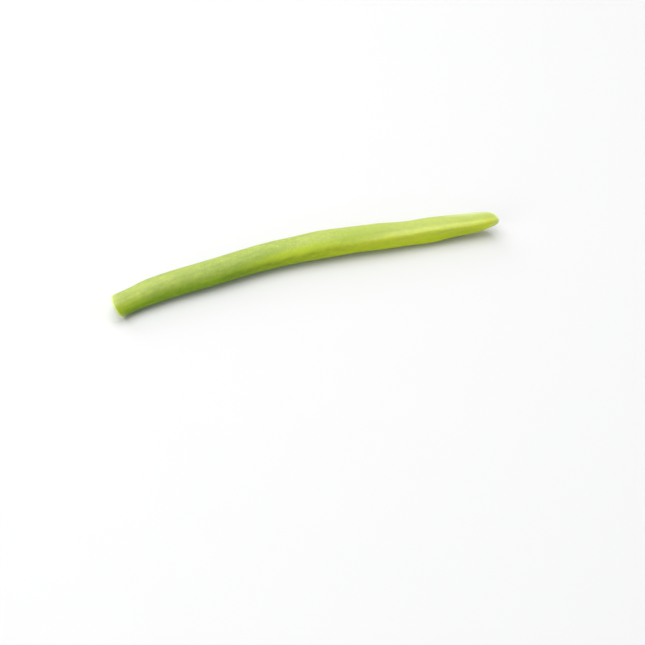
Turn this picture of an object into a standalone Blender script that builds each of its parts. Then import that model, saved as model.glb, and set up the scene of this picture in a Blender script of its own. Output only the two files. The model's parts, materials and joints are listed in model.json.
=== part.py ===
"""A trimmed green bean: one pod, grown in one piece and cut across at both ends.

Units are metres and +Z is up. The pod lies on its side along X, stem end at -X, with its bow towards +Y.
The origin is under the middle of the pod's bounding box, on the surface that the pod lies on.
"""

import math

import bmesh
import bpy
from mathutils import Matrix, Vector

# Driving dimensions
CHORD = 0.1180
SIDE_TO_SIDE = 0.0080
SEAM_TO_SEAM = 0.0087
BOW = 0.0065
FLAT_DEPTH = 0.00010

# Shapes along the pod, each as (fraction of the chord from the stem end, value). The value is a share of
# BOW, a gap in metres between the pod and the surface, or a share of the full girth.
BOW_SHAPE = (
    (0, 0.08), (0.05, 0.345), (0.13, 0.59), (0.26, 0.765), (0.39, 0.965), (0.51, 0.955), (0.63, 0.765),
    (0.75, 0.49), (0.88, 0.24), (1, 0.01),
)
GAP_BELOW = (
    (0, 0.0001), (0.12, 0), (0.31, 0.00016), (0.50, 0), (0.68, 0.00016), (0.84, 0), (0.90, 0.0006),
    (0.955, 0.0010), (1, 0.0025),
)
GIRTH = (
    (0, 0.83), (0.04, 0.81), (0.09, 0.895), (0.30, 0.94), (0.45, 0.975), (0.57, 1.015), (0.68, 0.97),
    (0.80, 0.905), (0.86, 0.885), (0.91, 0.82), (0.955, 0.775), (0.98, 0.68), (1, 0.53),
)

# How far above the horizontal the near seam sits, as (fraction of the chord from the stem end, degrees)
SEAM_TURN = (
    (0, -12), (0.30, 1), (0.50, 12), (0.60, 19), (0.72, 30), (0.82, 37), (0.90, 38), (1, 32),
)

# The seam's lips and groove, and the plain ridge of the seam on the far side
SEAM_RISE = 0.00016
SEAM_SPREAD = math.radians(13)
GROOVE_DEPTH = 0.00012
GROOVE_SPREAD = math.radians(3.4)
BACK_RIDGE_RISE = 0.00020
BACK_RIDGE_SPREAD = math.radians(10)

# Seeds inside swell the pod's flat sides: (fraction of the chord, rise of each side)
SEEDS = (
    (0.155, 0.00010), (0.285, 0.00015), (0.405, 0.00018), (0.550, 0.00024), (0.705, 0.00024),
    (0.830, 0.00036),
)
SEED_HALF_LENGTH = 0.0052

# Knife cuts: how far each face swings to the far side from square, and how far it leans to look down
STEM_CUT_SWING = math.radians(21)
STEM_CUT_LEAN = math.radians(25)
TIP_CUT_SWING = math.radians(36)
TIP_CUT_LEAN = math.radians(14)
CUT_SHEAR_LENGTH = 0.011

# The seed chamber where each cut opens it: share of the section along and across the seams, and depth
STEM_CHAMBER = {"along": 0.50, "across": 0.25, "depth": 0.0012}
TIP_CHAMBER = {"along": 0.30, "across": 0.14, "depth": 0.0004}
CHAMBER_FLOOR_SHARE = 0.75

# Mesh
SIDES = 40
RINGS = 80
SEAM_CROWDING = 0.55

# An edge where the surface turns by more than this stays crisp
SHARP_FROM = math.radians(28)

SKIN_COLOUR = (0.40, 0.52, 0.10, 1.0)
SKIN_ROUGHNESS = 0.45


def clear_scene():
    """Removes whatever the scene holds."""
    for old in list(bpy.data.objects):
        bpy.data.objects.remove(old)


def smooth_through(stations, where):
    """The value at `where` of a smooth curve through (place, value) stations."""
    last = len(stations) - 1
    span = next((i for i in range(last) if where <= stations[i + 1][0]), last - 1)

    def slope(i):
        before, after = stations[max(i - 1, 0)], stations[min(i + 1, last)]
        return (after[1] - before[1]) / (after[0] - before[0])

    (start, low), (end, high) = stations[span], stations[span + 1]
    width = end - start
    t = min(max((where - start) / width, 0), 1)
    return (
        low * (2 * t**3 - 3 * t**2 + 1)
        + high * (3 * t**2 - 2 * t**3)
        + slope(span) * width * (t**3 - 2 * t**2 + t)
        + slope(span + 1) * width * (t**3 - t**2)
    )


def half_height(fraction):
    """How far the plain oval section reaches below the middle line."""
    lean = seam_angle(fraction)
    tallest = math.hypot(math.sin(lean) * SEAM_TO_SEAM, math.cos(lean) * SIDE_TO_SIDE) / 2
    return smooth_through(GIRTH, fraction) * tallest


def middle_line(fraction):
    """The point of the pod's middle line at this fraction of the chord. It runs on straight past the ends."""
    held = min(max(fraction, 0), 1)
    height = half_height(held) + smooth_through(GAP_BELOW, held)
    point = Vector(((held - 0.5) * CHORD, BOW * smooth_through(BOW_SHAPE, held), height))
    if held != fraction:
        point += forward(held) * (fraction - held) * CHORD
    return point


def forward(fraction):
    """The way the middle line runs, towards the tip."""
    step = 0.004
    start, end = min(max(fraction - step, 0), 1), min(max(fraction + step, 0), 1)
    return (middle_line(end) - middle_line(start)).normalized()


def seam_angle(fraction):
    """How far above the horizontal the near seam sits. The pod twists a little along its length."""
    return math.radians(smooth_through(SEAM_TURN, fraction))


def seed_rise(fraction):
    """How far the seeds push each flat side out."""
    return sum(
        rise * math.exp(-(((fraction - seed) * CHORD / SEED_HALF_LENGTH) ** 2))
        for seed, rise in SEEDS
    )


def reach(fraction, angle):
    """Distance from the middle line to the skin, at an angle from the near seam."""
    girth = smooth_through(GIRTH, fraction)
    to_seam = girth * SEAM_TO_SEAM / 2
    to_side = girth * SIDE_TO_SIDE / 2 + seed_rise(fraction)
    oval = 1 / math.hypot(math.cos(angle) / to_seam, math.sin(angle) / to_side)
    from_near = math.remainder(angle, math.tau)
    from_back = math.remainder(angle - math.pi, math.tau)
    lips = SEAM_RISE * math.exp(-((from_near / SEAM_SPREAD) ** 2))
    groove = GROOVE_DEPTH * math.exp(-((from_near / GROOVE_SPREAD) ** 2))
    ridge = BACK_RIDGE_RISE * math.exp(-((from_back / BACK_RIDGE_SPREAD) ** 2))
    return oval + girth * (lips - groove + ridge)


def cut_normal(outward, swing, lean):
    """Which way a cut face looks, on a pod that runs outward there."""
    level = Vector((outward.x, outward.y, 0)).normalized()
    sideways = Vector((0, 1, 0)) - level * level.y
    swung = math.cos(swing) * level + math.sin(swing) * sideways.normalized()
    return math.cos(lean) * swung - math.sin(lean) * Vector((0, 0, 1))


def cut_shift(offset, fraction):
    """How far along the pod a point of the section moves, so that the end ring lies in the knife's plane."""
    near_stem = fraction < 0.5
    way = forward(0 if near_stem else 1)
    if near_stem:
        normal = cut_normal(-way, STEM_CUT_SWING, STEM_CUT_LEAN)
    else:
        normal = cut_normal(way, TIP_CUT_SWING, TIP_CUT_LEAN)
    from_end = (fraction if near_stem else 1 - fraction) * CHORD
    share = max(0, 1 - from_end / CUT_SHEAR_LENGTH)
    return -share * offset.dot(normal) / way.dot(normal)


def on_pod(straight):
    """Where a point of the straight unit cylinder, which runs along X from -0.5 to 0.5, sits on the pod."""
    fraction = straight.x + 0.5
    share = math.hypot(straight.y, straight.z)
    even = math.atan2(straight.z, -straight.y)
    angle = even - SEAM_CROWDING * math.sin(2 * even) / 2
    way = forward(fraction)
    far_side = Vector((-way.y, way.x, 0)).normalized()
    upward = way.cross(far_side)
    turned = angle + seam_angle(fraction)
    out = math.cos(turned) * -far_side + math.sin(turned) * upward
    offset = share * reach(fraction, angle) * out
    return middle_line(fraction) + offset + way * cut_shift(offset, fraction)


def sink_chamber(bm, cap, chamber, inward):
    """Opens the seed chamber in an end face: an oval mouth, then a shallow hollow with a smaller floor."""
    bmesh.ops.inset_individual(bm, faces=[cap], thickness=0.1)
    for vertex in cap.verts:
        even = math.atan2(vertex.co.z, vertex.co.y)
        vertex.co.y = chamber["along"] * math.cos(even)
        vertex.co.z = chamber["across"] * math.sin(even)
    floor = bmesh.ops.extrude_discrete_faces(bm, faces=[cap])["faces"][0]
    for vertex in floor.verts:
        vertex.co.x += inward * chamber["depth"] / CHORD
        vertex.co.y *= CHAMBER_FLOOR_SHARE
        vertex.co.z *= CHAMBER_FLOOR_SHARE


def settle(bm):
    """Presses the pod's low spots flat on the surface, and puts the origin under the middle of its box."""
    for vertex in bm.verts:
        vertex.co.z = max(vertex.co.z - FLAT_DEPTH, 0)
    for axis in (0, 1):
        places = [vertex.co[axis] for vertex in bm.verts]
        middle = (min(places) + max(places)) / 2
        for vertex in bm.verts:
            vertex.co[axis] -= middle


def build_pod_mesh():
    """The pod's mesh: a straight cylinder with its ends hollowed, then shaped to the pod."""
    bm = bmesh.new()
    bmesh.ops.create_cone(bm, cap_ends=True, segments=SIDES, radius1=1, radius2=1, depth=1)
    bmesh.ops.rotate(bm, verts=bm.verts, matrix=Matrix.Rotation(math.radians(90), 3, "Y"))
    lengthwise = [edge for edge in bm.edges if abs(edge.verts[0].co.x - edge.verts[1].co.x) > 0.5]
    bmesh.ops.subdivide_edges(bm, edges=lengthwise, cuts=RINGS - 1, use_grid_fill=True)
    stem_cap = min(bm.faces, key=lambda face: face.calc_center_median().x)
    tip_cap = max(bm.faces, key=lambda face: face.calc_center_median().x)
    sink_chamber(bm, stem_cap, STEM_CHAMBER, inward=1)
    sink_chamber(bm, tip_cap, TIP_CHAMBER, inward=-1)
    for vertex in bm.verts:
        vertex.co = on_pod(vertex.co)
    settle(bm)
    mesh = bpy.data.meshes.new("green_bean")
    bm.to_mesh(mesh)
    bm.free()
    return mesh


def skin_material():
    """Fresh green skin with a soft, waxy shine."""
    material = bpy.data.materials.new("bean_skin")
    material.use_nodes = True
    shader = material.node_tree.nodes["Principled BSDF"]
    shader.inputs["Base Color"].default_value = SKIN_COLOUR
    shader.inputs["Roughness"].default_value = SKIN_ROUGHNESS
    shader.inputs["Metallic"].default_value = 0
    return material


def main():
    """Builds the bean in a collection of its own."""
    clear_scene()
    collection = bpy.data.collections.new("green_bean_part")
    bpy.context.scene.collection.children.link(collection)
    mesh = build_pod_mesh()
    mesh.materials.append(skin_material())
    mesh.shade_smooth()
    mesh.set_sharp_from_angle(angle=SHARP_FROM)
    collection.objects.link(bpy.data.objects.new("green_bean", mesh))


main()
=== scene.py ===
"""Looks of a trimmed green bean: one fresh pod that lies on a pale floor under soft studio light.

The pod is modelled over its CAD solid. Lengths are in metres and +Z is up. The pod runs along X from its stem
end, at -X, to its tip. "Straight place" means a point's place in the pod if the pod were straight: how far
along it lies from the stem end, how far towards the near seam, and how far round towards the top.
"""

import json
import logging
import math
from dataclasses import dataclass, field
from enum import Enum

import bmesh
import bpy
import numpy as np
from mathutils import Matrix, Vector, noise
from mathutils.bvhtree import BVHTree

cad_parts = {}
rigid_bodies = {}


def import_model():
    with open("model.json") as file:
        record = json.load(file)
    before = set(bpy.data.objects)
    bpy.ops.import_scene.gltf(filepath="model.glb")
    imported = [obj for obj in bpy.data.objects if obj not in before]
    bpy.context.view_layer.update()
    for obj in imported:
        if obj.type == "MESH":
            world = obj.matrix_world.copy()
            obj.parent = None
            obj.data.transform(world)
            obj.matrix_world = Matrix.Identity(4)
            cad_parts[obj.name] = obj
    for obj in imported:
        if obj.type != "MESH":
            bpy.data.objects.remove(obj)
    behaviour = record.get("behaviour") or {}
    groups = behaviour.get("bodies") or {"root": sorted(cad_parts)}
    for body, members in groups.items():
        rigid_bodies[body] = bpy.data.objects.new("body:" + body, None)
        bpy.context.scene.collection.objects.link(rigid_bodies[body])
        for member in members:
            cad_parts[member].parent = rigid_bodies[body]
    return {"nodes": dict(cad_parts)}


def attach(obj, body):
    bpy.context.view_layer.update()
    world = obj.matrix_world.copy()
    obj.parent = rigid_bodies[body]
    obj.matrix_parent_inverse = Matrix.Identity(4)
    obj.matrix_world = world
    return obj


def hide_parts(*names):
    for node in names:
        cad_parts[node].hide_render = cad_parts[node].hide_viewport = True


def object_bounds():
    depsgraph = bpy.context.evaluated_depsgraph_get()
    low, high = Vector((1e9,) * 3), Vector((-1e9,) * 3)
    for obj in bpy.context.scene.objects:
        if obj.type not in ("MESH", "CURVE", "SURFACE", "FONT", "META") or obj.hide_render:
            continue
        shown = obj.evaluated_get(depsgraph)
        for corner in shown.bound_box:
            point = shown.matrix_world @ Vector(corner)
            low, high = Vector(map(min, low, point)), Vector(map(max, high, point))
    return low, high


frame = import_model()
cad_low, cad_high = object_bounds()

Colour = tuple[float, float, float]
Place = tuple[float, float, float]
Points = np.ndarray
Object = bpy.types.Object
Node = bpy.types.Node
Socket = bpy.types.NodeSocket
Tree = bpy.types.NodeTree
Material = bpy.types.Material
Readings = dict[str, object]

# How far above the horizontal the near seam sits, as (share of the pod's length from the stem end, degrees)
SEAM_TURN = ((0, -12), (0.30, 1), (0.50, 12), (0.60, 19), (0.72, 30), (0.82, 37), (0.90, 38), (1, 32))

# How much weaker, and how many times finer, each finer layer of the relief's noise is
NOISE_FALL = 1.0
NOISE_STEP = 2.0

log = logging.getLogger("green_bean")


class End(Enum):
    """The two ends of the pod, by the way that each one looks along X."""

    STEM = -1
    TIP = 1


class Slot(Enum):
    """The pod's finishes, by the number of their material slot."""

    SKIN = 0
    FLESH = 1
    LINING = 2


# Helpers for modelling


def select_only(piece: Object) -> None:
    """Selects one object and nothing else, and makes it active.

    Args:
        piece: the object to select.
    """
    bpy.ops.object.select_all(action="DESELECT")
    piece.select_set(True)
    bpy.context.view_layer.objects.active = piece


def start_editing(piece: Object, mode: str) -> None:
    """Enters edit mode with nothing selected.

    Args:
        piece: the object to edit.
        mode: what is selected there, VERT, EDGE or FACE.
    """
    select_only(piece)
    bpy.ops.object.mode_set(mode="EDIT")
    bpy.ops.mesh.select_mode(type=mode)
    bpy.ops.mesh.select_all(action="DESELECT")


def read_points(piece: Object) -> Points:
    """Reads where an object's points are.

    Args:
        piece: the object.

    Returns:
        One point a row.
    """
    flat = np.zeros(len(piece.data.vertices) * 3)
    piece.data.vertices.foreach_get("co", flat)
    return flat.reshape(-1, 3)


def apply_modifiers(piece: Object) -> None:
    """Applies every modifier of a piece, in order.

    Args:
        piece: the object that has them.
    """
    select_only(piece)
    for modifier in list(piece.modifiers):
        bpy.ops.object.modifier_apply(modifier=modifier.name)


def smooth_step(low: float, high: float, value: Points) -> Points:
    """A soft step at each value, from 0 at low to 1 at high."""
    share = np.clip((value - low) / (high - low), 0, 1)
    return share * share * (3 - 2 * share)


def hump(offset: Points, width: float) -> Points:
    """A soft hump at each offset from its middle: 1 there, and near 0 past twice its width."""
    return np.exp(-((offset / width) ** 2))


# Camera, floor and light


@dataclass
class Viewpoint:
    """The camera, where the photographer stood.

    Attributes:
        eye: where the camera is.
        target: the point that it looks at.
        lens: focal length in millimetres, on a sensor 36 mm wide.
        nearest: how close to it things still show.
    """

    eye: Place = (-0.0942, -0.31061, 0.3333)
    target: Place = (-0.0036, -0.02831, 0.0040)
    lens: float = 85.0
    nearest: float = 0.01

    def place(self) -> None:
        """Adds the camera and makes it the scene's own."""
        looking = Vector(self.target) - Vector(self.eye)
        bpy.ops.object.camera_add(location=self.eye, rotation=looking.to_track_quat("-Z", "Y").to_euler())
        camera = bpy.context.active_object
        camera.name = "camera"
        camera.data.lens = self.lens
        camera.data.clip_start = self.nearest
        bpy.context.scene.camera = camera


@dataclass
class SoftBox:
    """A square studio light behind white cloth.

    Attributes:
        name: what the light does.
        place: where it stands. It faces the pod.
        size: length of its side.
        power: in watts.
        tint: colour of its light.
    """

    name: str
    place: Place
    size: float
    power: float
    tint: Colour = (1.0, 1.0, 1.0)

    def set_up(self) -> None:
        """Adds the light."""
        facing = (-Vector(self.place)).to_track_quat("-Z", "Y").to_euler()
        bpy.ops.object.light_add(type="AREA", location=self.place, rotation=facing)
        light = bpy.context.active_object
        light.name = self.name
        light.data.shape = "SQUARE"
        light.data.size = self.size
        light.data.energy = self.power
        light.data.color = self.tint


@dataclass
class Studio:
    """Pale floor, soft boxes and the light of a white room.

    Attributes:
        floor_size: length of the floor's side.
        floor_gap: how far under the pod's low spots the floor lies, so that the two don't flicker.
        room_light: brightness of the white room.
        room_tint: colour of its light.
        boxes: the lights.
    """

    floor_size: float = 6.0
    floor_gap: float = 0.00001
    room_light: float = 0.20
    room_tint: Colour = (0.97, 0.99, 1.0)
    boxes: tuple[SoftBox, ...] = (
        SoftBox("key_light", (-0.10, 0.18, 1.05), 1.1, 14.5),
        SoftBox("back_light", (-0.45, 1.05, 0.60), 1.0, 6.5),
        SoftBox("side_light", (-0.95, -0.50, 0.42), 0.7, 4.3),
        SoftBox("tip_light", (0.95, -0.35, 0.45), 0.7, 1.8),
    )

    def lay_floor(self) -> None:
        """Lays the floor that the pod rests on."""
        bpy.ops.mesh.primitive_plane_add(size=self.floor_size, location=(0, 0, -self.floor_gap))
        floor = bpy.context.active_object
        floor.name = "floor"
        floor.data.materials.append(FloorFinish().material())

    def light_room(self) -> None:
        """Gives the room its even light."""
        world = bpy.data.worlds.new("white_room")
        world.use_nodes = True
        background = world.node_tree.nodes["Background"]
        background.inputs["Color"].default_value = (*self.room_tint, 1)
        background.inputs["Strength"].default_value = self.room_light
        bpy.context.scene.world = world

    def set_up(self) -> None:
        """Sets up the floor, the room and the lights, with plain colours in the picture."""
        self.lay_floor()
        self.light_room()
        for box in self.boxes:
            box.set_up()
        bpy.context.scene.view_settings.view_transform = "Standard"


# Materials

# The colour sockets of the Mix node, by number
MIX_BELOW, MIX_ON_TOP, MIX_RESULT = 6, 7, 2


class Bench:
    """Wires the nodes of one material or node group.

    Args:
        tree: the node tree to work in.
    """

    def __init__(self, tree: Tree) -> None:
        """Keeps the tree."""
        self.tree = tree

    def add(self, kind: str, **settings: object) -> Node:
        """Adds a node.

        Args:
            kind: its type, as Blender names it.
            settings: its own settings.

        Returns:
            The node.
        """
        node = self.tree.nodes.new(kind)
        for name, value in settings.items():
            setattr(node, name, value)
        return node

    def feed(self, socket: Socket, value: object) -> None:
        """Links an output to a socket, or sets the socket to a plain value.

        Args:
            socket: the input to feed.
            value: an output socket, a number or a colour.
        """
        if isinstance(value, Socket):
            self.tree.links.new(value, socket)
        elif socket.type == "RGBA":
            socket.default_value = (*value, 1)
        else:
            socket.default_value = value

    def sum(self, operation: str, *values: object) -> Socket:
        """One step of arithmetic.

        Args:
            operation: what is done, as the Math node names it.
            values: its inputs.

        Returns:
            The result.
        """
        node = self.add("ShaderNodeMath", operation=operation)
        for socket, value in zip(node.inputs, values):
            self.feed(socket, value)
        return node.outputs[0]

    def step(
        self, value: object, start: float, full: float, least: float = 0.0, most: float = 1.0
    ) -> Socket:
        """A soft step.

        Args:
            value: what is compared.
            start: where the step starts.
            full: where it is full. It may be less than the start.
            least: its height before the start.
            most: its height when it is full.

        Returns:
            The height of the step.
        """
        node = self.add("ShaderNodeMapRange", interpolation_type="SMOOTHSTEP")
        (low, at_low), (high, at_high) = sorted(((start, least), (full, most)))
        self.feed(node.inputs["Value"], value)
        self.feed(node.inputs["From Min"], low)
        self.feed(node.inputs["From Max"], high)
        self.feed(node.inputs["To Min"], at_low)
        self.feed(node.inputs["To Max"], at_high)
        return node.outputs["Result"]

    def blend(self, share: object, below: object, on_top: object, way: str = "MIX") -> Socket:
        """Blends two colours.

        Args:
            share: how much of the colour on top there is.
            below: the colour below.
            on_top: the colour on top.
            way: how they blend, as the Mix node names it.

        Returns:
            The blend.
        """
        node = self.add("ShaderNodeMix", data_type="RGBA", blend_type=way)
        self.feed(node.inputs["Factor"], share)
        self.feed(node.inputs[MIX_BELOW], below)
        self.feed(node.inputs[MIX_ON_TOP], on_top)
        return node.outputs[MIX_RESULT]

    def place(self, name: str) -> tuple[Socket, tuple[Socket, ...]]:
        """Reads one of the places that the pod's mesh keeps.

        Args:
            name: the attribute's name.

        Returns:
            The place as it is, and its three parts.
        """
        reading = self.add("ShaderNodeAttribute", attribute_name=name)
        parts = self.add("ShaderNodeSeparateXYZ")
        self.feed(parts.inputs[0], reading.outputs["Vector"])
        return reading.outputs["Vector"], tuple(parts.outputs)


@dataclass(frozen=True)
class PatternKind:
    """A kind of pattern drawn out along the pod, as one node group that the materials share.

    Attributes:
        name: the group's name.
        texture: the texture that it starts from, as Blender names its node.
        settings: the texture's own settings.
        detail: how many finer layers the texture has.
        roughness: how strong they are.
        low: where the texture counts as 0.
        high: where it counts as 1.
    """

    name: str
    texture: str
    settings: dict[str, str]
    detail: float
    roughness: float
    low: float
    high: float

    def group(self) -> Tree:
        """Makes the node group, unless it is there already.

        Returns:
            The group. It reads Place, Width and Length, and gives Value.
        """
        if self.name in bpy.data.node_groups:
            return bpy.data.node_groups[self.name]
        tree = bpy.data.node_groups.new(self.name, "ShaderNodeTree")
        for name, kind in (("Place", "Vector"), ("Width", "Float"), ("Length", "Float")):
            tree.interface.new_socket(name, in_out="INPUT", socket_type=f"NodeSocket{kind}")
        tree.interface.new_socket("Value", in_out="OUTPUT", socket_type="NodeSocketFloat")
        bench = Bench(tree)
        given = bench.add("NodeGroupInput").outputs
        size = bench.add("ShaderNodeCombineXYZ")
        for socket, name in zip(size.inputs, ("Length", "Width", "Width")):
            bench.feed(socket, given[name])
        scaled = bench.add("ShaderNodeVectorMath", operation="DIVIDE")
        bench.feed(scaled.inputs[0], given["Place"])
        bench.feed(scaled.inputs[1], size.outputs["Vector"])
        texture = bench.add(self.texture, **self.settings)
        bench.feed(texture.inputs["Vector"], scaled.outputs["Vector"])
        for name, value in (("Scale", 1.0), ("Detail", self.detail), ("Roughness", self.roughness)):
            bench.feed(texture.inputs[name], value)
        pattern = bench.step(texture.outputs[0], self.low, self.high)
        bench.feed(bench.add("NodeGroupOutput").inputs["Value"], pattern)
        return tree


# Light and dark streaks of uneven width and length, soft uneven patches, and fine round pores or cells
STRANDS = PatternKind("lengthwise_strands", "ShaderNodeTexNoise", {}, 2.0, 0.55, 0.25, 0.75)
MOTTLE = PatternKind("soft_mottle", "ShaderNodeTexNoise", {}, 3.0, 0.5, 0.3, 0.7)
GRAIN = PatternKind("fine_grain", "ShaderNodeTexVoronoi", {"feature": "SMOOTH_F1"}, 0.0, 0.5, 0.0, 0.75)


@dataclass(frozen=True)
class Pattern:
    """A pattern of one material.

    Attributes:
        kind: what it looks like.
        width: how wide its features are across the pod.
        length: how long they are along it.
    """

    kind: PatternKind
    width: float
    length: float

    def put(self, bench: Bench, place: object) -> Socket:
        """Puts the pattern into a material.

        Args:
            bench: the material's bench.
            place: where the pattern is read.

        Returns:
            Its value, from 0 to 1.
        """
        node = bench.add("ShaderNodeGroup", node_tree=self.kind.group())
        for name, value in (("Place", place), ("Width", self.width), ("Length", self.length)):
            bench.feed(node.inputs[name], value)
        return node.outputs["Value"]


def new_material(name: str) -> tuple[Material, Bench, Node]:
    """Starts a material.

    Args:
        name: its name.

    Returns:
        The material, a bench for it and its Principled shader.
    """
    material = bpy.data.materials.new(name)
    material.use_nodes = True
    return material, Bench(material.node_tree), material.node_tree.nodes["Principled BSDF"]


@dataclass(frozen=True)
class FloorFinish:
    """Plain matt white card.

    Attributes:
        colour: its colour.
        roughness: how rough it is at least.
        tooth: the pattern of its rougher spots.
        tooth_roughness: how much rougher they are.
    """

    colour: Colour = (0.68, 0.68, 0.68)
    roughness: float = 0.7
    tooth: Pattern = Pattern(MOTTLE, 0.02, 0.02)
    tooth_roughness: float = 0.06

    def material(self) -> Material:
        """Makes the card's material.

        Returns:
            The material.
        """
        material, bench, shader = new_material("white_card")
        tooth = self.tooth.put(bench, bench.add("ShaderNodeTexCoord").outputs["Object"])
        rough = bench.sum("MULTIPLY_ADD", tooth, self.tooth_roughness, self.roughness)
        bench.feed(shader.inputs["Base Color"], self.colour)
        bench.feed(shader.inputs["Roughness"], rough)
        return material


@dataclass(frozen=True)
class Step:
    """A soft step in something that a finish reads.

    Attributes:
        reading: what is read.
        start: the reading where the step starts.
        full: the reading where it is full, which may be the lower of the two.
        least: its height before the start.
        most: its height when it is full.
    """

    reading: str
    start: float
    full: float
    least: float = 0.0
    most: float = 1.0

    def wire(self, bench: Bench, readings: Readings) -> Socket:
        """Wires the step and returns its height."""
        return bench.step(readings[self.reading], self.start, self.full, self.least, self.most)


@dataclass(frozen=True)
class Spot:
    """A small soft oval spot on the skin.

    Attributes:
        along: where its middle lies along the pod.
        angle: how far round its middle lies from the near seam, over the top.
        length: half its length along the pod.
        width: half its width round the pod, as an angle.
        reading: the distance that tells where it lies along the pod, from the stem end or the nearer cut.
        edge: how many times its half length and width it reaches.
    """

    along: float
    angle: float
    length: float
    width: float
    reading: str = "along"
    edge: float = 1.6

    def wire(self, bench: Bench, readings: Readings) -> Socket:
        """Wires the spot.

        Args:
            bench: the material's bench.
            readings: what the finish reads, by name.

        Returns:
            Its strength, from 0 outside it to 1 in its middle.
        """
        place = readings[self.reading]
        off_along = bench.sum("DIVIDE", bench.sum("SUBTRACT", place, self.along), self.length)
        off_round = bench.sum("DIVIDE", bench.sum("SUBTRACT", readings["turned"], self.angle), self.width)
        squares = bench.sum("MULTIPLY_ADD", off_along, off_along, bench.sum("MULTIPLY", off_round, off_round))
        return bench.step(bench.sum("SQRT", squares), self.edge, 0.0)


@dataclass(frozen=True)
class Layer:
    """A colour laid over the colours below it.

    Attributes:
        colour: the colour, or how many times brighter it makes each colour below.
        masks: where it shows: soft steps, spots, and readings from 0 to 1 by name.
        share: how much of it shows where they are all 1.
        way: how it blends, as the Mix node names it.
    """

    colour: Colour
    masks: tuple[Step | Spot | str, ...]
    share: float = 1.0
    way: str = "MIX"

    def lay(self, bench: Bench, readings: Readings, below: object) -> Socket:
        """Wires the colour.

        Args:
            bench: the material's bench.
            readings: what the finish reads, by name.
            below: the colour below.

        Returns:
            The colour below with this one on it.
        """
        shown = self.share
        for mask in self.masks:
            height = readings[mask] if isinstance(mask, str) else mask.wire(bench, readings)
            shown = bench.sum("MULTIPLY", height, shown)
        return bench.blend(shown, below, self.colour, self.way)


@dataclass(frozen=True)
class Finish:
    """What one part of the pod's surface is made of: moist tissue that lets a little light in.

    Attributes:
        name: the material's name.
        patterns: patterns over the straight pod, by the name of their reading.
        base: the lowest colour.
        layers: the colours over it, lowest first.
        roughness: how rough it is where no pattern adds to that.
        rougher: how much patterns add to the roughness.
        relief: how high patterns stand, against the relief's height.
        relief_height: that height.
        glow: how much of the light comes back from below the surface.
        glow_depth: how deep it goes.
        glow_spread: how far each colour of it goes.
        plain: other values of the shader, by socket.
    """

    name: str
    patterns: dict[str, Pattern]
    base: Colour
    layers: tuple[Layer, ...]
    roughness: float
    rougher: dict[str, float]
    relief: dict[str, float]
    relief_height: float
    glow: float
    glow_depth: float
    glow_spread: Colour
    plain: dict[str, float] = field(default_factory=dict)

    def read(self, bench: Bench) -> Readings:
        """Wires what the layers read.

        Args:
            bench: the material's bench.

        Returns:
            The readings, by name.
        """
        straight, (along, near, up) = bench.place("straight_place")
        _, (from_cut, share_out, strand_end) = bench.place("cut_place")
        places = {"along": along, "near": near, "up": up, "from_cut": from_cut}
        places |= {"share_out": share_out, "strand_end": strand_end}
        return places | {name: pattern.put(bench, straight) for name, pattern in self.patterns.items()}

    def ground(self, bench: Bench, readings: Readings) -> object:
        """The colour under the layers."""
        return self.base

    def material(self) -> Material:
        """Makes the material.

        Returns:
            The material.
        """
        material, bench, shader = new_material(self.name)
        readings = self.read(bench)
        colour = self.ground(bench, readings)
        for layer in self.layers:
            colour = layer.lay(bench, readings, colour)
        rough, height = self.roughness, 0.0
        for name, share in self.rougher.items():
            rough = bench.sum("MULTIPLY_ADD", readings[name], share, rough)
        for name, share in self.relief.items():
            height = bench.sum("MULTIPLY_ADD", readings[name], share, height)
        bump = bench.add("ShaderNodeBump")
        bench.feed(bump.inputs["Distance"], self.relief_height)
        bench.feed(bump.inputs["Height"], height)
        fed = {
            "Base Color": colour, "Roughness": rough, "Normal": bump.outputs["Normal"],
            "Subsurface Weight": self.glow, "Subsurface Scale": self.glow_depth,
            "Subsurface Radius": self.glow_spread, **self.plain,
        }
        for socket, value in fed.items():
            bench.feed(shader.inputs[socket], value)
        return material


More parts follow.
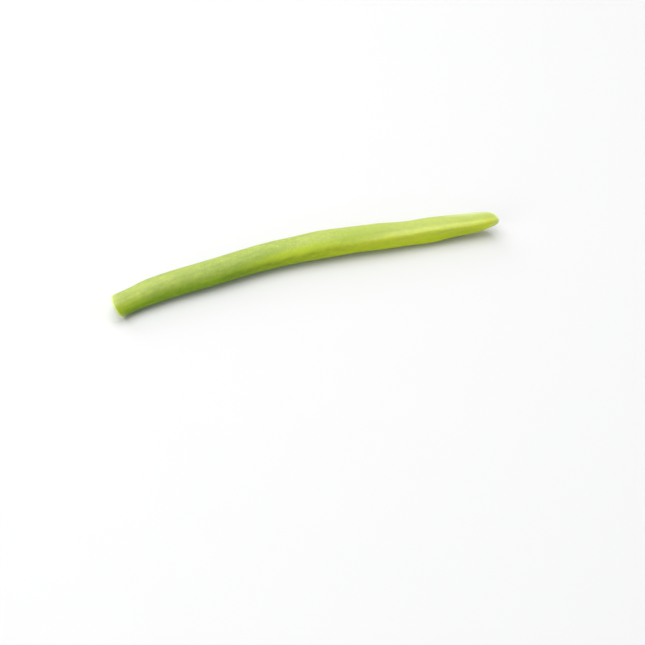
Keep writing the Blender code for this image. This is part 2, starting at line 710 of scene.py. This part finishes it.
@dataclass(frozen=True)
class SkinFinish(Finish):
    """Fresh skin, in greens that turn lighter towards the tip. The base is its upper side near the stem end.

    Attributes:
        stem_shaded_underside: the lower side near the stem end, darker and greener: partly its own deeper
            green, partly painted shade.
        tip_upper: the upper side near the tip, paler partly with painted highlight.
        tip_lower: the lower side there.
        upper_fade: where the upper side starts to turn from one to the other, and where it is done.
        lower_fade: the same for the lower side.
        shade_fade: how high up the lower side's colour starts, and from where it is full; the change is
            partly painted, highlight above and shade below.
        crease_angle: how far above the seam the crease's painted shade runs.
        crease_broken: how much of the crease's painted shade shows at least, and how much more the blotches
            add.
        highlight_band_angles: how far above the seam the pale band of painted highlight runs, towards the
            middle and at the tip.
        highlight_band_fall: where the band starts to come down, and where it is down.
    """

    # The lower side near the stem end is darker and greener, partly painted shade; the upper colours are
    # paler, partly painted highlight
    stem_shaded_underside: Colour = (0.170, 0.295, 0.001)
    tip_upper: Colour = (0.436, 0.508, 0.120)
    tip_lower: Colour = (0.470, 0.580, 0.006)
    upper_fade: tuple[float, float] = (0.030, 0.100)
    lower_fade: tuple[float, float] = (0.030, 0.090)
    shade_fade: tuple[float, float] = (1.02, -0.05)
    crease_angle: float = 0.08
    crease_broken: tuple[float, float] = (0.22, 0.60)
    highlight_band_angles: tuple[float, float] = (0.28, 0.12)
    highlight_band_fall: tuple[float, float] = (0.094, 0.113)

    def read(self, bench: Bench) -> Readings:
        """Wires what the layers read, angles from the near seam too.

        Args:
            bench: the material's bench.

        Returns:
            The readings, by name.
        """
        readings = super().read(bench)
        turned = bench.sum("ARCTAN2", readings["up"], readings["near"])
        # The line of the painted highlight's pale band above the seam
        highlight_band_line = bench.step(readings["along"], *self.highlight_band_fall, *self.highlight_band_angles)
        for name, line in (("off_seam", 0.0), ("off_crease", self.crease_angle), ("off_highlight", highlight_band_line)):
            readings[name] = bench.sum("ABSOLUTE", bench.sum("SUBTRACT", turned, line))
        least, more = self.crease_broken
        # How much of the crease's painted shade shows, broken up by the blotches
        broken = bench.sum("MULTIPLY_ADD", readings["blotches"], more, least)
        upper_share = bench.add("ShaderNodeAttribute", attribute_name="upper_share").outputs["Fac"]
        return readings | {"turned": turned, "upper_share": upper_share, "broken": broken}

    def ground(self, bench: Bench, readings: Readings) -> object:
        """Wires the greens under the layers.

        Args:
            bench: the material's bench.
            readings: what the finish reads, by name.

        Returns:
            The colour.
        """
        upper = bench.blend(bench.step(readings["along"], *self.upper_fade), self.base, self.tip_upper)
        lower = bench.blend(bench.step(readings["along"], *self.lower_fade), self.stem_shaded_underside, self.tip_lower)
        # Upper side to lower side: paler with painted highlight above, darker with painted shade below near
        # the stem end
        return bench.blend(bench.step(readings["upper_share"], *self.shade_fade), upper, lower)


# The skin's fine pattern is calmer towards the tip
CALMER = Step("along", 0.086, 0.050, least=0.35)

SKIN = SkinFinish(
    name="fresh_skin",
    patterns={
        "strands": Pattern(STRANDS, 0.0007, 0.016),
        "fine_strands": Pattern(STRANDS, 0.00028, 0.007),
        "pores": Pattern(GRAIN, 0.00048, 0.00048),
        "flecks": Pattern(MOTTLE, 0.0009, 0.0018),
        "blotches": Pattern(MOTTLE, 0.0021, 0.0042),
        "patches": Pattern(MOTTLE, 0.0026, 0.00624),
    },
    # The upper side near the stem end, paler and bluer partly with painted highlight
    base=(0.338, 0.412, 0.098),
    layers=(
        # The lower side just before the tip's cut
        Layer((0.590, 0.690, 0.030), (Step("along", 0.106, 0.119), Step("upper_share", 0.95, 0.55))),
        # The yellow-green along the seam, then a pale band above it, a painted highlight along the ridge
        Layer((0.470, 0.530, 0.020), (Step("off_seam", 0.34, 0.05), Step("along", 0.020, 0.080)), 0.60),
        Layer((0.640, 0.715, 0.190), (Step("off_highlight", 0.34, 0.03), Step("along", 0.066, 0.096)), 0.64),
        # Darker patches, then pale flecks
        Layer((0.860, 0.910, 0.870), ("patches", CALMER), way="MULTIPLY"),
        Layer((1.210, 1.180, 1.080), ("flecks", CALMER), way="MULTIPLY"),
        # Pale strands just under the skin, which show most near the two ends
        Layer(
            (1.450, 1.380, 1.300),
            (
                "strands", Step("along", 0.036, 0.016, least=1.0, most=2.2),
                Step("along", 0.050, 0.100, least=1.0, most=2.6), CALMER,
            ),
            share=0.10, way="MULTIPLY",
        ),
        # Pale pores
        Layer(
            (1.280, 1.250, 1.240),
            (Step("pores", 0.42, 0.05), Step("along", 0.016, 0.036, least=0.40), CALMER),
            way="MULTIPLY",
        ),
        # Painted shade at the bottom of the seam's groove, which comes and goes
        Layer(
            (0.130, 0.205, 0.002),
            (
                "broken", Step("off_crease", 0.36, 0.05), Step("along", 0.026, 0.038),
                Step("along", 0.082, 0.046),
            ),
        ),
        # The paler skin beside each cut
        Layer((0.540, 0.630, 0.190), (Step("from_cut", 0.0024, 0.0002),), share=0.60),
        # Small patches of another colour, and two of painted light: a pale highlight along the top near the
        # tip, and shade on the lower side before it
        Layer((0.400, 0.530, 0.006), (Spot(0.0010, 0.70, 0.0060, 0.50),), 0.45),
        Layer(
            (0.350, 0.460, 0.001),
            (Spot(0.0011, 0.68, 0.0007, 0.46, reading="from_cut"), Step("along", 0.010, 0.006)),
            share=0.85,
        ),
        Layer((0.540, 0.660, 0.030), (Spot(0.0560, 0.45, 0.0165, 0.38),), 0.60),
        Layer((0.230, 0.370, 0.050), (Spot(0.0420, 1.00, 0.0130, 0.50),), 0.30),
        Layer((0.330, 0.450, 0.040), (Spot(0.0765, 0.80, 0.0080, 0.50),), 0.50),
        # A painted highlight: pale along the top edge near the tip
        Layer((0.620, 0.700, 0.360), (Spot(0.1130, 1.35, 0.0080, 0.36),), 0.75),
        Layer((0.300, 0.280, 0.020), (Spot(0.0700, -0.10, 0.0040, 0.14),), 0.25),
        Layer((0.600, 0.560, 0.050), (Spot(0.0860, 0.10, 0.0018, 0.11),), 0.30),
        # Painted shade: darker on the lower side near the tip
        Layer((0.330, 0.430, 0.006), (Spot(0.1110, -0.62, 0.0060, 0.36),), 0.45),
        Layer((0.590, 0.620, 0.040), (Spot(0.1180, 0.02, 0.0022, 0.40),), 0.50),
        Layer((0.640, 0.750, 0.220), (Spot(0.1200, -0.60, 0.0024, 0.50),), 0.70),
        # The pale edge that the knife left
        Layer((0.680, 0.780, 0.330), (Step("from_cut", 0.00070, 0.00034),), share=0.95),
    ),
    roughness=0.42,
    rougher={"patches": 0.08, "fine_strands": 0.07},
    relief={"strands": 1.0, "fine_strands": 0.45, "pores": 0.25},
    relief_height=0.000022,
    glow=0.20,
    glow_depth=0.0010,
    glow_spread=(0.85, 1.0, 0.25),
    plain={"Specular IOR Level": 0.20, "Coat Weight": 0.03, "Coat Roughness": 0.30, "Sheen Weight": 0.02},
)

FLESH_GREEN = (0.420, 0.540, 0.150)
FLESH_PALE = (0.600, 0.680, 0.330)

FLESH = Finish(
    name="cut_flesh",
    patterns={
        "cells": Pattern(GRAIN, 0.00022, 0.00022),
        "mottle": Pattern(MOTTLE, 0.0009, 0.0009),
        "rays": Pattern(STRANDS, 0.0003, 0.002),
    },
    base=FLESH_PALE,
    layers=(
        Layer(FLESH_GREEN, (Step("share_out", 0.45, 0.88),)),
        Layer(FLESH_GREEN, ("mottle",), share=0.35),
        Layer(FLESH_PALE, ("cells",), share=0.25),
        # The ends of the seams' strands
        Layer((0.720, 0.740, 0.480), ("strand_end",)),
        # The darker line under the skin, then the pale rim
        Layer((0.300, 0.430, 0.070), (Step("share_out", 0.90, 0.95), Step("share_out", 0.995, 0.965)), 0.60),
        Layer((0.600, 0.690, 0.260), (Step("share_out", 0.965, 1.0),)),
    ),
    roughness=0.28,
    rougher={"mottle": 0.18},
    relief={"cells": 1.0, "rays": 0.6},
    relief_height=0.00004,
    glow=0.45,
    glow_depth=0.0018,
    glow_spread=(0.85, 1.0, 0.35),
)

LINING_PALE = (0.660, 0.710, 0.470)

LINING = Finish(
    name="chamber_lining",
    patterns={
        "fuzz": Pattern(GRAIN, 0.00016, 0.00016),
        "mottle": Pattern(MOTTLE, 0.0006, 0.0009),
    },
    base=LINING_PALE,
    layers=(
        # Painted shade: darker and greener deep down in the chamber
        Layer((0.420, 0.500, 0.200), (Step("from_cut", 0.0, 0.0012),), share=0.70),
        Layer(LINING_PALE, ("mottle",), share=0.30),
    ),
    roughness=0.5,
    rougher={"mottle": 0.15},
    relief={"fuzz": 1.0, "mottle": 0.6},
    relief_height=0.00005,
    glow=0.5,
    glow_depth=0.0015,
    glow_spread=(0.9, 1.0, 0.5),
)


# The pod


@dataclass
class MiddleLine:
    """The pod's middle line and the way that its seams face, read from the CAD solid.

    Attributes:
        solid: the CAD solid.
        seam_turn: how far above the horizontal the near seam sits, as shares of the length and degrees.
        stations: how many places it is read at.
        end_margin: how far from each end of the solid the readings stop.
        outside: a distance well outside the skin, from which the readings look inwards.
        cut_faces_look: how much a cut's faces look along X, at least.
        slant_length: how far the slant of a cut reaches into the pod.
        just_inside: a distance that keeps a reading inside the pod.
        centring_passes: how many times the line is moved to the middle of the skin.
        end_stations: how many stations at each end tell how the line goes on from there.
        end_curve: degree of the curve through them.
        fine_steps: steps between two stations, past the last one.
        straightening_passes: how many times a point's nearest place on the line is bettered.
    """

    solid: Object
    seam_turn: tuple[tuple[float, float], ...] = SEAM_TURN
    stations: int = 45
    end_margin: float = 0.0055
    outside: float = 0.010
    cut_faces_look: float = 0.6
    slant_length: float = 0.011
    just_inside: float = 0.00015
    centring_passes: int = 3
    end_stations: int = 7
    end_curve: int = 2
    fine_steps: int = 10
    straightening_passes: int = 4

    def __post_init__(self) -> None:
        """Reads the line from the solid, between its two cuts."""
        self.surface = BVHTree.FromObject(self.solid, bpy.context.evaluated_depsgraph_get())
        self.planes = [self.read_cut(end) for end in End]
        self.set_line(self.first_guess())
        for _ in range(self.centring_passes):
            self.set_line(self.centred())
        self.set_line(self.lengthened())

    def read_cut(self, end: End) -> tuple[Vector, float]:
        """Reads the plane of a cut.

        Args:
            end: which end it is at.

        Returns:
            The way the cut looks, and how far along that way it lies.
        """
        mesh = self.solid.data
        faces = [face for face in mesh.polygons if face.normal.x * end.value > self.cut_faces_look]
        looks = sum((face.normal * face.area for face in faces), Vector()).normalized()
        return looks, max(mesh.vertices[number].co.dot(looks) for face in faces for number in face.vertices)

    def first_guess(self) -> Points:
        """Finds the middle of the solid's box at each station.

        Returns:
            One point a station.
        """
        places = read_points(self.solid)
        first, last = places[:, 0].min() + self.end_margin, places[:, 0].max() - self.end_margin
        across = np.linspace(first, last, self.stations)
        spacing = across[1] - across[0]
        middles = []
        for place in across:
            close = places[np.abs(places[:, 0] - place) < spacing]
            middle = (close.min(axis=0) + close.max(axis=0)) / 2
            middles.append([place, middle[1], middle[2]])
        return np.array(middles)

    def set_line(self, middles: Points) -> None:
        """Works out the distances along the line and its directions.

        Args:
            middles: points of the middle line.
        """
        self.middles = middles
        steps = np.linalg.norm(np.diff(middles, axis=0), axis=1)
        self.along = np.concatenate([[0], np.cumsum(steps)])
        self.length = self.along[-1]
        ways = np.gradient(middles, self.along, axis=0)
        self.ways = ways / np.linalg.norm(ways, axis=1)[:, None]
        self.far_side = np.stack([-self.ways[:, 1], self.ways[:, 0], np.zeros(len(ways))], axis=1)
        self.far_side /= np.linalg.norm(self.far_side, axis=1)[:, None]
        self.upward = np.cross(self.ways, self.far_side)
        half = (cad_high.x - cad_low.x) / 2
        shares, degrees = zip(*self.seam_turn)
        turn = np.radians(np.interp((middles[:, 0] / half + 1) / 2, shares, degrees))[:, None]
        self.to_seam = -self.far_side * np.cos(turn) + self.upward * np.sin(turn)
        self.to_top = self.far_side * np.sin(turn) + self.upward * np.cos(turn)

    def centred(self) -> Points:
        """Moves each station to the middle between opposite sides of the skin.

        Returns:
            The better points.
        """
        better = []
        for middle, side, up in zip(self.middles, self.far_side, self.upward):
            centre = Vector(middle)
            for way in (Vector(side), Vector(up)):
                centre += way * (self.skin_reach(centre, way) - self.skin_reach(centre, -way)) / 2
            better.append(centre)
        return np.array(better)

    def lengthened(self) -> Points:
        """Takes the line on, with its own curve, to where it meets the two cuts.

        Returns:
            The whole line.
        """
        ends = []
        for number, (looks, reach) in enumerate(self.planes):
            near = slice(-self.end_stations, None) if number else slice(0, self.end_stations)
            place = self.middles[near, 0]
            curves = [np.polyfit(place, self.middles[near, axis], self.end_curve) for axis in (1, 2)]
            step = (place[1] - place[0]) / self.fine_steps * (1 if number else -1)
            outward = place[-1] if number else place[0]
            point = Vector((outward, *(np.polyval(curve, outward) for curve in curves)))
            extra = []
            share = 1
            while share == 1 and point.dot(looks) < reach:
                outward += step
                following = Vector((outward, *(np.polyval(curve, outward) for curve in curves)))
                share = min((reach - point.dot(looks)) / (following - point).dot(looks), 1)
                point = point.lerp(following, share)
                extra.append(point)
            ends.append(np.array(extra))
        return np.concatenate([ends[0][::-1], self.middles, ends[1]])

    def skin_reach(self, start: Vector, way: Vector) -> float:
        """How many times a way, from a point inside the pod, goes to the skin. It is read from outside."""
        _, _, _, distance = self.surface.ray_cast(start + way * self.outside, -way)
        return self.outside - distance / way.length

    def at(self, along: float | Points, rows: Points) -> Points:
        """Reads rows of vectors, one a station, at distances along the line."""
        return np.stack([np.interp(along, self.along, rows[:, axis]) for axis in range(3)], axis=-1)

    def slide(self, along: float, offset: Vector) -> float:
        """Finds how far a point near an end slides along the pod, so that the end lies in the knife's plane.

        Args:
            along: its distance along the line.
            offset: its offset from the line.

        Returns:
            The distance that it slides.
        """
        number = 0 if along < self.length / 2 else 1
        looks, _ = self.planes[number]
        way = Vector(self.ways[-number])
        from_end = self.length - along if number else along
        return -max(0, 1 - from_end / self.slant_length) * offset.dot(looks) / way.dot(looks)

    def bend(self, along: float, angle: float, share: float) -> Vector:
        """Finds where a point of the straight pod is on the real one.

        Args:
            along: its distance from the stem end. It may be a little past an end.
            angle: how far round it is from the near seam, over the top.
            share: how far out it is, from 0 on the middle line to 1 at the skin.

        Returns:
            Its place.
        """
        held = min(max(along, 0), self.length)
        middle, way = Vector(self.at(held, self.middles)), Vector(self.at(held, self.ways)).normalized()
        to_seam, to_top = Vector(self.at(held, self.to_seam)), Vector(self.at(held, self.to_top))
        out = (to_seam * math.cos(angle) + to_top * math.sin(angle)).normalized()
        inside = min(max(held, self.just_inside), self.length - self.just_inside)
        start = Vector(self.at(inside, self.middles))
        offset = out * self.skin_reach(start, out + way * self.slide(held, out)) * share
        return middle + offset + way * (self.slide(held, offset) + along - held)

    def straighten(self, points: Points) -> Points:
        """Finds the straight places of points.

        Args:
            points: one point a row.

        Returns:
            Their straight places, one a row.
        """
        along = np.interp(points[:, 0], self.middles[:, 0], self.along)
        for _ in range(self.straightening_passes):
            offset = points - self.at(along, self.middles)
            along = np.clip(along + np.sum(offset * self.at(along, self.ways), axis=1), 0, self.length)
        offset = points - self.at(along, self.middles)
        past = np.sum(offset * self.at(along, self.ways), axis=1)
        near = np.sum(offset * self.at(along, self.to_seam), axis=1)
        up = np.sum(offset * self.at(along, self.to_top), axis=1)
        return np.stack([along + past, near, up], axis=1)

    def upper_share(self, points: Points) -> Points:
        """Tells the upper side from the lower side.

        Args:
            points: one point a row.

        Returns:
            1 for a point straight above the middle line and -1 for one straight below it.
        """
        along = self.straighten(points)[:, 0]
        offset = points - self.at(along, self.middles)
        rise = np.sum(offset * self.at(along, self.upward), axis=1)
        return rise / np.maximum(np.linalg.norm(offset, axis=1), self.just_inside)

    def from_cut(self, points: Points) -> Points:
        """Measures how far inside the nearer cut points are, from 0 at a cut."""
        depths = [reach - points @ np.array(looks) for looks, reach in self.planes]
        return np.minimum(*depths)


@dataclass(frozen=True)
class CutEnd:
    """One trimmed end: its rounded rim, the cut flesh, and the mouth and hollow of the seed chamber.

    It is shaped on the straight pod, whose near seam looks along -Y.

    Attributes:
        end: which end it is.
        rim_round: how far the knife's edge is rounded.
        flesh_rings: rings of flesh from the rim inwards, each as a share of the radius and how far it rises.
        mouth: the chamber's mouth, as shares of the radius along and across the seams.
        chamber_rings: rings down into the chamber, each as a depth and its size against the mouth.
        rim_segments: faces across the rounded edge.
        rim_profile: how full its rounding is.
    """

    end: End
    rim_round: float
    flesh_rings: tuple[tuple[float, float], ...]
    mouth: tuple[float, float]
    chamber_rings: tuple[tuple[float, float], ...]
    rim_segments: int = 2
    rim_profile: float = 0.6

    def resize(self, along: float, across: float) -> None:
        """Resizes the selected faces about the pod's middle, along and across its seams."""
        bpy.ops.transform.resize(value=(1, along, across), center_override=(0, 0, 0))

    def select_end(self, pod: Object) -> None:
        """Selects the flat end, which is the one face there with more than four corners.

        Args:
            pod: the straight pod, in edit mode.
        """
        bpy.ops.mesh.select_all(action="DESELECT")
        bm = bmesh.from_edit_mesh(pod.data)
        for face in bm.faces:
            face.select_set(len(face.verts) > 4 and face.calc_center_median().x * self.end.value > 0)
        bmesh.update_edit_mesh(pod.data)

    def shape(self, pod: Object, radius: float) -> None:
        """Shapes the flat end of the straight pod.

        Args:
            pod: the straight pod, in object mode.
            radius: its radius.
        """
        start_editing(pod, "FACE")
        self.select_end(pod)
        bpy.ops.mesh.region_to_loop()
        bpy.ops.mesh.bevel(
            offset=self.rim_round, segments=self.rim_segments, profile=self.rim_profile, affect="EDGES"
        )
        bpy.ops.mesh.select_mode(type="FACE")
        self.select_end(pod)
        bpy.ops.mesh.select_more()
        pod.active_material_index = Slot.FLESH.value
        bpy.ops.object.material_slot_assign()
        bpy.ops.mesh.select_less()
        left = 1 - self.rim_round / radius
        for share, rise in self.flesh_rings:
            bpy.ops.mesh.inset(thickness=share * radius, depth=rise)
            left -= share
        self.resize(self.mouth[0] / left, self.mouth[1] / left)
        pod.active_material_index = Slot.LINING.value
        bpy.ops.object.material_slot_assign()
        size, deep = 1.0, 0.0
        for depth, share in self.chamber_rings:
            inwards = (-self.end.value * (depth - deep), 0, 0)
            bpy.ops.mesh.extrude_region_move(TRANSFORM_OT_translate={"value": inwards})
            self.resize(share / size, share / size)
            size, deep = share, depth
        bpy.ops.mesh.inset(thickness=self.mouth[1] * radius * size / 2, depth=0)
        bpy.ops.mesh.poke()
        bpy.ops.object.mode_set(mode="OBJECT")


@dataclass(frozen=True)
class Relief:
    """A fine form of the skin that a Displace modifier raises or sinks.

    Attributes:
        name: what it is.
        height: how far it stands out where it is strongest. A negative height sinks.
        width: how wide it is, or how wide its patches are across the pod.
        length: how long its patches are along the pod.
        finer: how many finer layers its patches have.
        seed: moves its patches to another part of the noise.
    """

    name: str
    height: float
    width: float
    length: float = 0.0
    finer: int = 0
    seed: float = 0.0

    def patches(self, places: Points) -> Points:
        """Reads its patches at straight places.

        Args:
            places: straight places, one a row.

        Returns:
            A value for each place, from 0 to 1.
        """
        scaled = places / np.array([self.length, self.width, self.width]) + self.seed
        values = [noise.fractal(Vector(row), NOISE_FALL, NOISE_STEP, self.finer) for row in scaled]
        return np.clip((1 + np.array(values)) / 2, 0, 1)

    def press(self, pod: Object, strength: Points) -> None:
        """Adds the form to the pod.

        Args:
            pod: the pod.
            strength: how strong the form is at each point, from 0 to 1.
        """
        group = pod.vertex_groups.new(name=self.name)
        for number, weight in enumerate(strength):
            if weight > 0:
                group.add([number], float(weight), "REPLACE")
        displace = pod.modifiers.new(self.name, "DISPLACE")
        displace.vertex_group = self.name
        displace.mid_level = 0
        displace.strength = self.height


@dataclass
class Pod:
    """The bean pod.

    Attributes:
        node: the CAD solid that it stands for.
        name: the piece's own name.
        sides: flat sides of the straight pod, before it is rounded.
        rings: rings of faces along it.
        seam_crowding: how much closer the sides lie at the seams than between them.
        radius: radius of the straight pod.
        smoothing: levels of subdivision.
        rest_height: how far above the floor the fine forms reach their full height.
        cuts: the two trimmed ends.
        strand_ends: ends of the strands beside the seams, each as shares of the radius towards the near seam
            and towards the top, and its size.
        unevenness, fibres, crease, ridge, pucker: the skin's fine forms.
        crease_starts: where the crease along the seam starts and is full, as shares of the length.
        crease_ends: where it starts to fade and is gone.
        ridge_starts: where the ridge starts and is full. It goes on to the tip.
        pucker_reach: how far from a cut the skin puckers.
    """

    node: str = "green_bean"
    name: str = "bean_pod"
    sides: int = 40
    rings: int = 80
    seam_crowding: float = 0.55
    radius: float = 0.004
    smoothing: int = 2
    rest_height: float = 0.0006
    cuts: tuple[CutEnd, ...] = (
        CutEnd(
            End.STEM,
            rim_round=0.00012,
            flesh_rings=((0.04, 0.00002), (0.14, 0.00005), (0.16, 0.00002), (0.16, -0.00003)),
            mouth=(0.50, 0.25),
            chamber_rings=((0.00015, 0.94), (0.0006, 0.86), (0.0011, 0.72)),
        ),
        CutEnd(
            End.TIP,
            rim_round=0.00009,
            flesh_rings=((0.06, 0.00002), (0.18, 0.00004), (0.18, 0.00001), (0.18, -0.00002)),
            mouth=(0.30, 0.14),
            chamber_rings=((0.00010, 0.94), (0.00025, 0.86), (0.0004, 0.72)),
        ),
    )
    strand_ends: tuple[Place, ...] = ((0.80, 0.08, 0.06), (0.80, -0.08, 0.06), (-0.80, 0, 0.08))
    unevenness: Relief = Relief("unevenness", 0.00006, 0.0045, length=0.014, finer=2, seed=3.0)
    fibres: Relief = Relief("fibres", 0.000035, 0.0007, length=0.020, finer=2, seed=11.0)
    crease: Relief = Relief("crease", -0.00003, 0.00042)
    ridge: Relief = Relief("ridge", 0.00013, 0.00070)
    pucker: Relief = Relief("pucker", 0.00005, 0.0006, length=0.006, finer=1, seed=23.0)
    crease_starts: tuple[float, float] = (0.20, 0.32)
    crease_ends: tuple[float, float] = (0.58, 0.70)
    ridge_starts: tuple[float, float] = (0.60, 0.72)
    pucker_reach: float = 0.006

    def make_straight(self, length: float) -> Object:
        """Makes the straight pod: a round bar along X, divided along its length.

        Args:
            length: the bar's length.

        Returns:
            The bar.
        """
        bpy.ops.object.select_all(action="DESELECT")
        along_x = (0, math.pi / 2, 0)
        bpy.ops.mesh.primitive_cylinder_add(
            vertices=self.sides, radius=self.radius, depth=length, end_fill_type="NGON", rotation=along_x
        )
        bpy.ops.object.transform_apply(location=True, rotation=True, scale=True)
        pod = bpy.context.active_object
        pod.name = self.name
        pod.data.name = self.name
        start_editing(pod, "EDGE")
        bm = bmesh.from_edit_mesh(pod.data)
        for edge in bm.edges:
            edge.select_set(bool(abs(edge.verts[0].co.x - edge.verts[1].co.x) > length / 2))
        bmesh.update_edit_mesh(pod.data)
        bpy.ops.mesh.subdivide(number_cuts=self.rings - 1)
        bpy.ops.object.mode_set(mode="OBJECT")
        return pod

    def bend(self, pod: Object, line: MiddleLine) -> None:
        """Bends, twists and fills out the straight pod to the form of the solid.

        Each point's share of the way out to the skin is kept for the patterns on the cuts.

        Args:
            pod: the straight pod.
            line: the middle line.
        """
        shares = pod.data.attributes.new("share_out", "FLOAT_VECTOR", "POINT")
        for point, kept in zip(pod.data.vertices, shares.data):
            even = math.atan2(point.co.z, -point.co.y)
            angle = even - self.seam_crowding * math.sin(2 * even) / 2
            share = math.hypot(point.co.y, point.co.z) / self.radius
            kept.vector = (share, share * math.cos(angle), share * math.sin(angle))
            point.co = line.bend(point.co.x + line.length / 2, angle, share)

    def smooth(self, pod: Object) -> None:
        """Rounds the pod with a Subdivision Surface, applied.

        Args:
            pod: the closed pod.
        """
        rounding = pod.modifiers.new("rounding", "SUBSURF")
        rounding.levels = self.smoothing
        rounding.render_levels = self.smoothing
        apply_modifiers(pod)
        bpy.ops.object.shade_smooth()

    def skin_points(self, pod: Object) -> Points:
        """Tells skin from cut.

        Args:
            pod: the pod.

        Returns:
            1 for each point of the skin and 0 for the rest.
        """
        skin = np.ones(len(pod.data.vertices))
        for face in pod.data.polygons:
            if face.material_index != Slot.SKIN.value:
                skin[list(face.vertices)] = 0
        return skin

    def add_relief(self, pod: Object, line: MiddleLine) -> None:
        """Presses the skin's fine forms in: unevenness, fibres, the seam's crease and ridge, and puckers.

        Args:
            pod: the smooth pod.
            line: the middle line.
        """
        points = read_points(pod)
        straight = line.straighten(points)
        along = straight[:, 0] / line.length
        round_seam = np.arctan2(straight[:, 2], straight[:, 1]) * np.hypot(straight[:, 1], straight[:, 2])
        free = smooth_step(0, self.rest_height, points[:, 2]) * self.skin_points(pod)
        creased = smooth_step(*self.crease_starts, along) * (1 - smooth_step(*self.crease_ends, along))
        ridged = smooth_step(*self.ridge_starts, along)
        near_cut = 1 - smooth_step(0, self.pucker_reach, line.from_cut(points))
        self.unevenness.press(pod, free * self.unevenness.patches(straight))
        self.fibres.press(pod, free * self.fibres.patches(straight))
        self.crease.press(pod, free * creased * hump(round_seam, self.crease.width))
        self.ridge.press(pod, free * ridged * hump(round_seam, self.ridge.width))
        self.pucker.press(pod, free * near_cut * self.pucker.patches(straight))
        apply_modifiers(pod)
        pod.vertex_groups.clear()

    def keep_places(self, pod: Object, line: MiddleLine) -> None:
        """Keeps each point's straight place and its place on the cut with the mesh, for the materials.

        Args:
            pod: the finished shape.
            line: the middle line.
        """
        points = read_points(pod)
        shares = np.zeros(len(points) * 3)
        pod.data.attributes["share_out"].data.foreach_get("vector", shares)
        out, near, up = shares.reshape(-1, 3).T
        strand_end = np.zeros(len(points))
        for spot_near, spot_up, size in self.strand_ends:
            strand_end = np.maximum(strand_end, hump(np.hypot(near - spot_near, up - spot_up), size))
        cut_place = np.stack([line.from_cut(points), out, strand_end], axis=1)
        pod.data.attributes.remove(pod.data.attributes["share_out"])
        for name, rows in (("straight_place", line.straighten(points)), ("cut_place", cut_place)):
            kept = pod.data.attributes.new(name, "FLOAT_VECTOR", "POINT")
            kept.data.foreach_set("vector", rows.astype(np.float32).ravel())
        kept = pod.data.attributes.new("upper_share", "FLOAT", "POINT")
        kept.data.foreach_set("value", line.upper_share(points).astype(np.float32))

    def build(self) -> Object:
        """Models and dresses the pod.

        Returns:
            The finished piece.
        """
        line = MiddleLine(frame["nodes"][self.node])
        pod = self.make_straight(line.length)
        for finish in (SKIN, FLESH, LINING):
            pod.data.materials.append(finish.material())
        for cut in self.cuts:
            cut.shape(pod, self.radius)
        self.bend(pod, line)
        self.smooth(pod)
        self.add_relief(pod, line)
        self.keep_places(pod, line)
        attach(pod, "root")
        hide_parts(self.node)
        return pod


def main() -> None:
    """Builds the scene: camera, studio, then the pod."""
    logging.basicConfig(level=logging.INFO, format="%(message)s")
    Viewpoint().place()
    Studio().set_up()
    pod = Pod().build()
    triangles = sum(len(face.vertices) - 2 for face in pod.data.polygons)
    log.info("%s: %d points, %d triangles", pod.name, len(pod.data.vertices), triangles)


if __name__ == "__main__":
    main()
